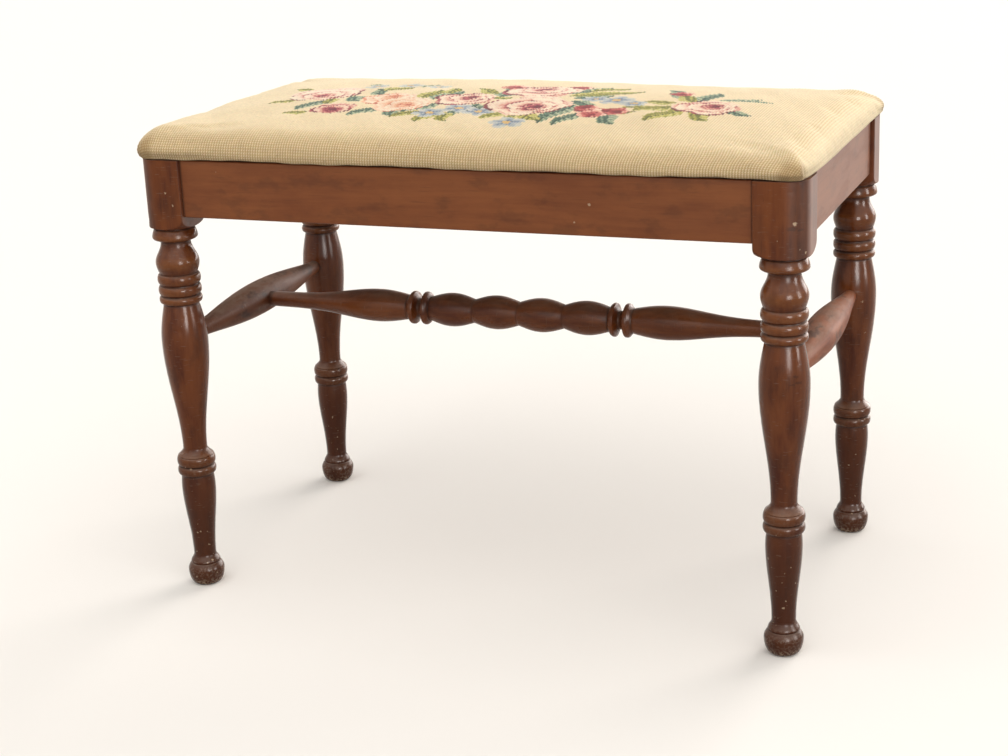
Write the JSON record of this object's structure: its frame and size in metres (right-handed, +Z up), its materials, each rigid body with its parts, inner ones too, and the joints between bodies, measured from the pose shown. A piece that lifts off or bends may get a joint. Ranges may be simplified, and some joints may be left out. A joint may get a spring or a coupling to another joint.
{
  "type": "vanity bench",
  "caption": "Low backless bench with turned wooden legs, an H stretcher with a beaded bar, plain rails and a padded rectangular seat covered in floral needlepoint.",
  "frame": {"origin": "on the floor under the middle of the bench", "axes": "+X along the bench's length to the right as seen from the front, +Y to the rear, +Z up"},
  "size_m": [0.6244, 0.3434, 0.462],
  "materials": {
    "leg_wood": "red-brown stain under satin lacquer",
    "rail_wood": "red-brown stain under satin lacquer",
    "stretcher_wood": "red-brown stain under worn satin lacquer",
    "corner_block_wood": "bare sawn wood",
    "dowel_wood": "bare wood",
    "plywood": "bare plywood",
    "cotton_batting": "matt fibre",
    "needlepoint": "wool stitches in diagonal rows",
    "screw_steel": "dull steel"
  },
  "bodies": {
    "root": {"cross_stretcher": "stretcher_wood", "front_left_corner_block": "corner_block_wood", "front_left_leg": "leg_wood", "front_left_long_rail_screw": "screw_steel", "front_left_seat_screw": "screw_steel", "front_left_short_rail_screw": "screw_steel", "front_rail": "rail_wood", "front_rail_left_lower_dowel": "dowel_wood", "front_rail_left_upper_dowel": "dowel_wood", "front_rail_right_lower_dowel": "dowel_wood", "front_rail_right_upper_dowel": "dowel_wood", "front_right_corner_block": "corner_block_wood", "front_right_leg": "leg_wood", "front_right_long_rail_screw": "screw_steel", "front_right_seat_screw": "screw_steel", "front_right_short_rail_screw": "screw_steel", "left_rail": "rail_wood", "left_rail_front_lower_dowel": "dowel_wood", "left_rail_front_upper_dowel": "dowel_wood", "left_rail_rear_lower_dowel": "dowel_wood", "left_rail_rear_upper_dowel": "dowel_wood", "left_stretcher": "stretcher_wood", "needlepoint_cover": "needlepoint", "rear_left_corner_block": "corner_block_wood", "rear_left_leg": "leg_wood", "rear_left_long_rail_screw": "screw_steel", "rear_left_seat_screw": "screw_steel", "rear_left_short_rail_screw": "screw_steel", "rear_rail": "rail_wood", "rear_rail_left_lower_dowel": "dowel_wood", "rear_rail_left_upper_dowel": "dowel_wood", "rear_rail_right_lower_dowel": "dowel_wood", "rear_rail_right_upper_dowel": "dowel_wood", "rear_right_corner_block": "corner_block_wood", "rear_right_leg": "leg_wood", "rear_right_long_rail_screw": "screw_steel", "rear_right_seat_screw": "screw_steel", "rear_right_short_rail_screw": "screw_steel", "right_rail": "rail_wood", "right_rail_front_lower_dowel": "dowel_wood", "right_rail_front_upper_dowel": "dowel_wood", "right_rail_rear_lower_dowel": "dowel_wood", "right_rail_rear_upper_dowel": "dowel_wood", "right_stretcher": "stretcher_wood", "seat_board": "plywood", "seat_padding": "cotton_batting"}
  },
  "joints": []
}
